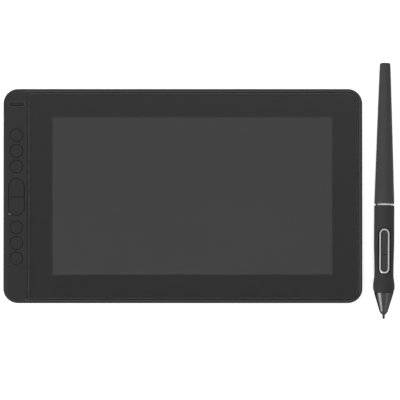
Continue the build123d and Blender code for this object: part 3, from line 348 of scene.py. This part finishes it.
finishes = {
    cover_plastic: ["rear_cover"],
    power_plastic: ["power_key"],
    foot_rubber: ["rubber_feet"],
    print_black: ["border_print"],
    tape_black: ["glass_tape"],
    guide_clear: ["light_guide"],
    panel: ["lcd_panel"],
    white_film: ["reflector_sheet", "diffuser_films"],
    white_frame: ["backlight_frame"],
    board_green: ["main_board", "key_board", "pen_sensor_board", "pen_board", "led_strip"],
    sheet_steel: ["sensor_shield", "shield_can"],
    plate_aluminium: ["sensor_plate"],
    screw_steel: ["housing_screws", "plate_screws", "board_screws"],
    port_steel: ["usb_c_ports"],
    chip_black: ["board_chips", "tact_switches", "pen_switches", "pen_pressure_sensor", "pen_core"],
    connector_cream: ["board_connectors"],
    flex_amber: ["display_flex", "sensor_flex", "key_flex"],
    pipe_milky.material: ["indicator_light_pipe"],
    barrel_plastic: ["pen_barrel"],
    grip_rubber: ["pen_grip"],
    bright_metal: ["pen_ring", "pen_trim"],
    nose_metal: ["pen_nose_cone"],
    button_plastic: ["pen_button_rear", "pen_button_front"],
    nib_plastic: ["pen_nib"],
    ferrite_black: ["pen_ferrite"],
    winding: ["pen_coil"],
}
for material, names in finishes.items():
    for name in names:
        slots = nodes[name].data.materials
        if not slots:
            slots.append(material)
        for index in range(len(slots)):
            slots[index] = material


# Pieces with smooth curves, where the solids have narrow flats


def stitched(name, rings, looped=False):
    """A mesh through rings of points in millimetres, its ends capped, or joined to each other."""
    made = bmesh.new()
    loops = [[made.verts.new(Vector(point) * MM) for point in ring] for ring in rings]
    following = loops[1:] + loops[:1] if looped else loops[1:]
    for first, second in zip(loops, following):
        for index in range(len(first)):
            ahead = (index + 1) % len(first)
            made.faces.new((first[index], first[ahead], second[ahead], second[index]))
    if not looped:
        made.faces.new(loops[0][::-1])
        made.faces.new(loops[-1])
    bmesh.ops.recalc_face_normals(made, faces=made.faces)
    mesh = bpy.data.meshes.new(name)
    made.to_mesh(mesh)
    made.free()
    return mesh


def combined(mesh, tool_mesh, operation):
    """One closed mesh united with another, or cut by it."""
    pair = [bpy.data.objects.new(name, data) for name, data in (("form", mesh), ("tool", tool_mesh))]
    for part in pair:
        bpy.context.scene.collection.objects.link(part)
    step = pair[0].modifiers.new("step", "BOOLEAN")
    step.operation = operation
    step.solver = "EXACT"
    step.object = pair[1]
    bpy.context.view_layer.update()
    graph = bpy.context.evaluated_depsgraph_get()
    result = bpy.data.meshes.new_from_object(pair[0].evaluated_get(graph))
    for part in pair:
        bpy.data.objects.remove(part)
    return result


def finished(name, mesh, material, body, replaced, slot, smooth=40, weighted=False):
    """Links a piece, gives it its material, lets it ride and hides the parts that it stands for."""
    piece = bpy.data.objects.new(name, mesh)
    bpy.context.scene.collection.objects.link(piece)
    mesh.materials.clear()
    mesh.materials.append(material)
    for face in mesh.polygons:
        face.use_smooth = True
        face.material_index = 0
    mesh.set_sharp_from_angle(angle=radians(smooth))
    if weighted:
        piece.modifiers.new("flat faces stay flat", "WEIGHTED_NORMAL").keep_sharp = True
    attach(piece, body)
    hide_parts(*replaced)
    return piece


def rounded_outline(low, high, radii, inset, z, steps=12):
    """A rectangle with four rounded corners, as a ring that starts at the far right."""
    corners = ((high.x, high.y, -1, -1), (low.x, high.y, 1, -1), (low.x, low.y, 1, 1), (high.x, low.y, -1, 1))
    ring = []
    for index, (x, y, inward_x, inward_y) in enumerate(corners):
        radius = radii[index]
        centre_x, centre_y = x / MM + inward_x * radius, y / MM + inward_y * radius
        for step in range(steps + 1):
            turn = pi / 2 * (index + step / steps)
            ring.append((centre_x + (radius - inset) * cos(turn), centre_y + (radius - inset) * sin(turn), z))
    return ring


# Cover glass, bonded to the panel by the clear adhesive that fills the print's window

CORNER = 13.3
KEY_SIDE_CORNER = 1.5
LAP = 0.03
PANEL_GAP = 0.02
WINDOW_BORDER = 4.4
WINDOW_DRIVER_BORDER = 7.0
WINDOW_CORNER = 1.6
WINDOW_INSET = 0.03
SIDE_STEPS = ((0.0, 0.1), (0.12, -LAP))

# The ground edge as insets and drops in millimetres; its first slope is left paler than the inked rest,
# partly as a ground finish and partly as a painted highlight
EDGE = ((0.75, 0.0), (0.4, 0.05), (0.18, 0.13), (0.05, 0.26), (0.0, 0.4))
glass_low, glass_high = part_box("cover_glass")
print_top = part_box("border_print")[1].z / MM
panel_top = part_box("lcd_panel")[1].z / MM
glass_radii = (CORNER - RIM, KEY_SIDE_CORNER, KEY_SIDE_CORNER, CORNER - RIM)
glass_levels = [(inset, glass_high.z / MM - drop) for inset, drop in EDGE]
glass_levels += [(inset, print_top + rise) for inset, rise in SIDE_STEPS]
glass_rings = [rounded_outline(glass_low, glass_high, glass_radii, inset, z) for inset, z in glass_levels]
panel_low, panel_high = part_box("lcd_panel")
window_low = Vector((panel_low.x + WINDOW_BORDER * MM, panel_low.y + WINDOW_BORDER * MM))
window_high = Vector((panel_high.x - WINDOW_BORDER * MM, panel_high.y - WINDOW_DRIVER_BORDER * MM))
for z in (print_top - LAP, panel_top - PANEL_GAP):
    glass_rings.append(rounded_outline(window_low, window_high, (WINDOW_CORNER,) * 4, WINDOW_INSET, z))
sheet = finished(
    "glass_sheet",
    stitched("glass_sheet", glass_rings),
    glass,
    "tablet",
    ["cover_glass", "optical_adhesive"],
    "etched_glass",
    weighted=True,
)
INKED, GROUND_AND_HIGHLIGHT = 1, 2
FLAT_UP, FIRST_SLOPE = 0.995, 0.97
sheet.data.materials.append(edge_ink)
sheet.data.materials.append(ground_edge_and_highlight)
for face in sheet.data.polygons:
    if face.center.z > print_top * MM and face.normal.z < FLAT_UP:
        face.material_index = INKED if face.normal.z < FIRST_SLOPE else GROUND_AND_HIGHLIGHT

# Express keys, and the holes that they stand in

KEY_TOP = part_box("key_1")[1].z / MM
KEY_RADIUS = 5.75
PAIR_RADIUS = 6.95
PAIR_ARM = 9.85
PAIR_SLIT = 0.235
PAIR_FLANGE_SLIT = 0.225
STEM_HALF = 1.5
KEY_ROUND = 0.35
KEY_GAP = 0.26
MOUTH = 0.46
FLANGE = (9.0, 9.8)
pair_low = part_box("key_5")[0]
pair_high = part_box("key_4")[1]
key_x = (pair_low.x + pair_high.x) / 2 / MM
pair_y = (pair_low.y + pair_high.y) / 2 / MM


def round_ring(y, radius, z, sides=96):
    turns = [2 * pi * side / sides for side in range(sides)]
    return [(key_x + radius * cos(turn), y + radius * sin(turn), z) for turn in turns]


def half_ring(side, inset, z, steps=48):
    """Half of the pair's long outline, closed by the straight line where the two keys meet."""
    radius = PAIR_RADIUS - inset
    turns = [pi * step / steps for step in range(steps + 1)]
    ring = [
        (key_x + radius * cos(turn), pair_y + side * (PAIR_ARM + radius * sin(turn)), z) for turn in turns
    ]
    flat = pair_y + side * (PAIR_SLIT + inset)
    return ring + [(key_x - radius, flat, z), (key_x + radius, flat, z)]


def long_ring(radius, z, steps=48):
    ring = []
    for side, first in ((1, 0), (-1, pi)):
        for step in range(steps + 1):
            turn = first + pi * step / steps
            ring.append((key_x + radius * cos(turn), pair_y + side * PAIR_ARM + radius * sin(turn), z))
    return ring


def block(name, low, high):
    corners = ((low[0], low[1]), (high[0], low[1]), (high[0], high[1]), (low[0], high[1]))
    return stitched(name, [[(x, y, z) for x, y in corners] for z in (low[2], high[2])])


rounding = [pi / 2 * step / 5 for step in range(6)]
cap_levels = [(0.0, FLANGE[0] + 0.4)]
for turn in rounding:
    cap_levels.append((KEY_ROUND * (1 - cos(turn)), KEY_TOP - KEY_ROUND + KEY_ROUND * sin(turn)))
shell = nodes["front_frame"].data.copy()
welded = bmesh.new()
welded.from_mesh(shell)
bmesh.ops.remove_doubles(welded, verts=welded.verts, dist=0.0005 * MM)
welded.to_mesh(shell)
welded.free()
deck_top = frame_high.z / MM
hole_levels = ((0.0, FLANGE[1] + 0.1), (0.0, deck_top - MOUTH), (2 * MOUTH, deck_top + MOUTH))
for number in range(1, 9):
    name = f"key_{number}"
    low, high = (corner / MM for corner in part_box(name))
    if number in (4, 5):
        side = 1 if number == 4 else -1
        cap = [half_ring(side, inset, z) for inset, z in cap_levels]
        stem_y = pair_y + side * PAIR_ARM / 2
        near, far = sorted((pair_y + side * PAIR_FLANGE_SLIT, pair_y + side * PAIR_ARM))
        flange = block("flange", (low.x, near, FLANGE[0]), (high.x, far, FLANGE[1]))
    else:
        stem_y = (low.y + high.y) / 2
        cap = [round_ring(stem_y, KEY_RADIUS - inset, z) for inset, z in cap_levels]
        flange = block("flange", (low.x, low.y, FLANGE[0]), (high.x, high.y, FLANGE[1]))
        hole = [round_ring(stem_y, KEY_RADIUS + KEY_GAP + extra, z) for extra, z in hole_levels]
        shell = combined(shell, stitched("hole", hole), "DIFFERENCE")
    stem_low = (key_x - STEM_HALF, stem_y - STEM_HALF, low.z)
    stem = block("stem", stem_low, (key_x + STEM_HALF, stem_y + STEM_HALF, FLANGE[0] + 0.3))
    mesh = combined(combined(stitched("cap", cap), flange, "UNION"), stem, "UNION")
    finished(f"{name}_cap", mesh, key_plastic, name, [name], "key_plastic", weighted=True)
pair_hole = [long_ring(PAIR_RADIUS + KEY_GAP + extra, z) for extra, z in hole_levels]
shell = combined(shell, stitched("hole", pair_hole), "DIFFERENCE")
finished(
    "frame_shell", shell, frame_plastic, "tablet", ["front_frame"], "frame_plastic", smooth=30, weighted=True
)

# Pen

BARREL = 129.3
RING_WIDTH = 1.8
GRIP_START = BARREL + RING_WIDTH
GRIP_LENGTH = 79.9
GRIP_END = GRIP_START + GRIP_LENGTH
FLARE = 9.86
FLARE_SHARE = 0.92
FLARE_AT = GRIP_START + FLARE_SHARE * GRIP_LENGTH
CORE = 7.52
TAIL = 4.9
TAIL_ROUND = 1.8
BARREL_FRONT = 9.2
BARREL_SWELL = 0.08
CORE_START = 120.3
NIB_END = 234.8
TRIM_MIDDLE = 173.1
TRIM_HALF_WIDTH = 4.6
TRIM_HALF_LENGTH = 20.5
TRIM_PROUD = 0.3
CHANNEL_GAP = 1.1
TILT = -atan2(FLARE - TAIL, FLARE_AT - TAIL_ROUND)
TURN = radians(-0.45)
ring_low, ring_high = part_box("pen_ring")
ring_middle = Vector((0, -(BARREL + 0.9) * MM, 0))
pen_turn = Matrix.Rotation(TURN, 4, "Z") @ Matrix.Rotation(TILT, 4, "X")
pen_place = Matrix.Translation((ring_low + ring_high) / 2 - pen_turn @ ring_middle) @ pen_turn


def lathed(name, profile, sides=128, looped=False):
    """A mesh turned about the pen's axis through (radius, station) points."""
    turns = [2 * pi * side / sides for side in range(sides)]
    rings = [[(radius * cos(turn), -at, radius * sin(turn)) for turn in turns] for radius, at in profile]
    return stitched(name, rings, looped)


def eased(start, end, steps):
    """Points of a smooth step from one (radius, station) to another, without the first."""
    points = []
    for step in range(1, steps + 1):
        share = step / steps
        ease = (1 - cos(pi * share)) / 2
        points.append((start[0] + (end[0] - start[0]) * ease, start[1] + (end[1] - start[1]) * share))
    return points


def barrel_radius(station):
    share = station / BARREL
    return TAIL + (BARREL_FRONT - TAIL) * share + 4 * BARREL_SWELL * share * (1 - share)


GRIP_REAR = 9.24
WAIST = 8.82

# Radius, share of the grip's length and number of steps: belly, both ends of waist and flare, front
GRIP_POINTS = (
    (9.30, 0.40, 4),
    (WAIST, 0.745, 10),
    (WAIST, 0.79, 1),
    (FLARE, FLARE_SHARE, 16),
    (FLARE, 0.945, 1),
    (8.81, 1, 8),
)


def grip_profile(extra=0.0):
    """The grip's outline from rear to front."""
    points = [(GRIP_REAR + extra, GRIP_START)]
    for radius, share, steps in GRIP_POINTS:
        points += eased(points[-1], (radius + extra, GRIP_START + share * GRIP_LENGTH), steps)
    return points


def grip_radius(station, extra=0.0):
    """The grip's radius at a station, read off its outline."""
    profile = grip_profile(extra)
    for (first, start), (second, end) in zip(profile, profile[1:]):
        if start <= station <= end:
            return first + (second - first) * (station - start) / (end - start)
    return profile[-1][0]


def pen_piece(name, mesh, material, body, replaced, slot, **options):
    mesh.transform(pen_place)
    return finished(name, mesh, material, body, replaced, slot, **options)


# A profile ends this near the axis, and a small flat closes it
AXIS = 0.01
quarter = [pi / 2 * step / 8 for step in range(9)]
tail_flat = barrel_radius(TAIL_ROUND) - TAIL_ROUND
barrel_line = [(AXIS, 0)]
barrel_line += [(tail_flat + TAIL_ROUND * sin(turn), TAIL_ROUND * (1 - cos(turn))) for turn in quarter]
barrel_line += [(barrel_radius(station), station) for station in [4 + 4 * step for step in range(31)]]
barrel_line += [(9.18, BARREL - 0.25), (9.0, BARREL), (CORE, BARREL), (CORE, CORE_START), (AXIS, CORE_START)]
barrel_mesh = lathed("barrel_skin", barrel_line)
pen_piece("barrel_skin", barrel_mesh, barrel_plastic, "pen", ["pen_barrel"], "barrel_plastic")

ring_line = [(CORE, BARREL), (8.25, BARREL), (8.41, BARREL + 0.12), (8.45, BARREL + 0.35)]
ring_line += [(8.45, GRIP_START - 0.35), (8.41, GRIP_START - 0.12), (8.25, GRIP_START), (CORE, GRIP_START)]
ring_mesh = lathed("ring_band", ring_line, looped=True)
pen_piece("ring_band", ring_mesh, bright_metal, "pen", ["pen_ring"], "bright_metal")

NOSE_REAR, NOSE_FRONT, NOSE_TAPER = 8.76, 3.7, 17.0
NOSE_LIP = 0.25
NOSE_STEPS = 12
nose_line = [(8.5, GRIP_END), (8.72, GRIP_END + NOSE_LIP)]
for step in range(1, NOSE_STEPS + 1):
    radius = NOSE_REAR - (NOSE_REAR - NOSE_FRONT) * step / NOSE_STEPS
    nose_line.append((radius, GRIP_END + NOSE_LIP + NOSE_TAPER * step / NOSE_STEPS))
for radius, ahead in ((3.5, 17.6), (3.2, 18.0), (1.62, 19.8), (1.5, 20.0)):
    nose_line.append((radius, GRIP_END + ahead))
for radius, ahead in ((1.14, 20.0), (1.14, 10), (6.0, 4), (6.0, 0)):
    nose_line.append((radius, GRIP_END + ahead))
nose_mesh = lathed("nose_shell", nose_line, looped=True)
pen_piece("nose_shell", nose_mesh, nose_metal, "pen", ["pen_nose_cone"], "nose_metal")

NIB_RADIUS = 1.08
NIB_FLAT = 0.48
NIB_DOME = 1.1
nib_line = [(AXIS, GRIP_END + 5), (NIB_RADIUS, GRIP_END + 5), (NIB_RADIUS, NIB_END - 1.3)]
nib_line += [(NIB_FLAT + 0.6 * cos(turn), NIB_END - NIB_DOME + NIB_DOME * sin(turn)) for turn in quarter]
nib_line += [(AXIS, NIB_END)]
pen_piece("nib_tip", lathed("nib_tip", nib_line, 48), nib_plastic, "pen_nib", ["pen_nib"], "nib_plastic")


def stadium(half_width, half_length, count=24):
    """Points round a long round-ended outline, across and along the pen from the trim's middle."""
    arm = half_length - half_width
    points = []
    for end, turn_start in ((1, 0), (-1, pi)):
        for step in range(count + 1):
            turn = turn_start + pi * step / count
            points.append((half_width * cos(turn), end * arm + half_width * sin(turn)))
    return points


grip_mesh = lathed("grip_sleeve", grip_profile() + [(CORE, GRIP_END), (CORE, GRIP_START)], 160, True)
channel_outline = stadium(TRIM_HALF_WIDTH + CHANNEL_GAP, TRIM_HALF_LENGTH + CHANNEL_GAP)
channel = [[(x, y - TRIM_MIDDLE, z) for x, y in channel_outline] for z in (2, 12)]
grip_mesh = combined(grip_mesh, stitched("channel", channel), "DIFFERENCE")
pen_piece("grip_sleeve", grip_mesh, grip_rubber, "pen", ["pen_grip"], "grip_rubber", smooth=35)


TRIM_SECTION = (
    (TRIM_HALF_WIDTH, -2.6),
    (TRIM_HALF_WIDTH, -0.16),
    (4.48, -0.03),
    (4.1, 0.0),
    (3.65, 0.0),
    (3.27, -0.03),
    (3.15, -0.16),
    (3.15, -2.6),
)


def trim_mesh():
    """The bright line: a ring with a rounded top that follows the grip's surface."""
    rings = []
    for half_width, drop in TRIM_SECTION:
        ring = []
        for x, y in stadium(half_width, TRIM_HALF_LENGTH - (TRIM_HALF_WIDTH - half_width)):
            station = TRIM_MIDDLE - y
            ring.append((x, -station, sqrt(grip_radius(station, TRIM_PROUD) ** 2 - x * x) + drop))
        rings.append(ring)
    return stitched("trim_line", rings, looped=True)


pen_piece("trim_line", trim_mesh(), bright_metal, "pen", ["pen_trim"], "bright_metal")


# Stage


def light_path(tree, *names):
    """One where any of the named ray kinds looks, else zero."""
    path = tree.nodes.new("ShaderNodeLightPath")
    total = path.outputs[names[0]]
    for name in names[1:]:
        either = tree.nodes.new("ShaderNodeMath")
        either.operation = "MAXIMUM"
        tree.links.new(total, either.inputs[0])
        tree.links.new(path.outputs[name], either.inputs[1])
        total = either.outputs[0]
    return total


def floor():
    """A white floor just under the feet, as bright to the eye as the paper of the photo."""
    mesh = bpy.data.meshes.new("floor")
    corners = [(-FLOOR, -FLOOR), (FLOOR, -FLOOR), (FLOOR, FLOOR), (-FLOOR, FLOOR)]
    mesh.from_pydata([(x, y, -FLOOR_DROP * MM) for x, y in corners], [], [(0, 1, 2, 3)])
    plane = bpy.data.objects.new("floor", mesh)
    bpy.context.scene.collection.objects.link(plane)
    material = bpy.data.materials.new("floor_white")
    material.use_nodes = True
    tree = material.node_tree
    surface = tree.nodes["Principled BSDF"]
    surface.inputs["Base Color"].default_value = (0.8, 0.8, 0.8, 1)
    surface.inputs["Roughness"].default_value = 0.9
    surface.inputs["Specular IOR Level"].default_value = 0.0
    seen = light_path(tree, "Is Camera Ray", "Is Glossy Ray", "Is Transmission Ray")
    glow = tree.nodes.new("ShaderNodeEmission")
    level = tree.nodes.new("ShaderNodeMath")
    level.operation = "MULTIPLY"
    level.inputs[1].default_value = FLOOR_GLOW
    tree.links.new(seen, level.inputs[0])
    tree.links.new(level.outputs[0], glow.inputs["Strength"])
    add = tree.nodes.new("ShaderNodeAddShader")
    tree.links.new(surface.outputs[0], add.inputs[0])
    tree.links.new(glow.outputs[0], add.inputs[1])
    tree.links.new(add.outputs[0], tree.nodes["Material Output"].inputs["Surface"])
    mesh.materials.append(material)


def world():
    """A soft dome of light that cameras and reflections see as white."""
    made = bpy.data.worlds.new("studio")
    bpy.context.scene.world = made
    made.use_nodes = True
    tree = made.node_tree
    tree.nodes.clear()
    output = tree.nodes.new("ShaderNodeOutputWorld")
    soft = tree.nodes.new("ShaderNodeBackground")
    soft.inputs["Color"].default_value = (1, 1, 1, 1)
    soft.inputs["Strength"].default_value = DOME
    seen = tree.nodes.new("ShaderNodeBackground")
    seen.inputs["Color"].default_value = (1, 1, 1, 1)
    seen.inputs["Strength"].default_value = 1.0
    mix = tree.nodes.new("ShaderNodeMixShader")
    kinds = light_path(tree, "Is Camera Ray", "Is Glossy Ray", "Is Transmission Ray")
    tree.links.new(kinds, mix.inputs[0])
    tree.links.new(soft.outputs[0], mix.inputs[1])
    tree.links.new(seen.outputs[0], mix.inputs[2])
    tree.links.new(mix.outputs[0], output.inputs["Surface"])


def softbox(name, place, target, width, height, power):
    """A rectangular lamp turned to face a point."""
    data = bpy.data.lights.new(name, "AREA")
    data.shape = "RECTANGLE"
    data.size = width
    data.size_y = height
    data.energy = power
    lamp = bpy.data.objects.new(name, data)
    lamp.location = place
    lamp.rotation_euler = (Vector(target) - Vector(place)).to_track_quat("-Z", "Y").to_euler()
    bpy.context.scene.collection.objects.link(lamp)


FLOOR = 4.0
FLOOR_DROP = 0.02
FLOOR_GLOW = 0.66
DOME = 0.42

floor()
world()
softbox("key_light", (0.1, 0.62, 1.1), (0, 0, 0), 0.9, 0.4, 5.5)
softbox("left_light", (-1.17, -0.88, 0.75), (0.15, 0, 0), 0.6, 1.0, 15.0)
softbox("right_light", (1.18, -0.88, 0.98), (0.15, 0, 0), 0.5, 0.6, 1.1)

ELEVATION = radians(88.0)
DISTANCE = 5.0
FIELD_WIDTH = 0.366
SENSOR = 36
AIM_X, AIM_Y = 15.7, -3.75
aim = Vector((tablet_x + AIM_X * MM, tablet_y + AIM_Y * MM, tablet_top))
back = Vector((0, -cos(ELEVATION), sin(ELEVATION)))
lens = bpy.data.cameras.new("camera")
lens.sensor_width = SENSOR
lens.lens = SENSOR * DISTANCE / FIELD_WIDTH
lens.clip_start = 0.05
lens.clip_end = 40
camera = bpy.data.objects.new("camera", lens)
camera.location = aim + back * DISTANCE
camera.rotation_euler = (-back).to_track_quat("-Z", "Y").to_euler()
bpy.context.scene.collection.objects.link(camera)
bpy.context.scene.camera = camera
bpy.context.scene.view_settings.view_transform = "Standard"
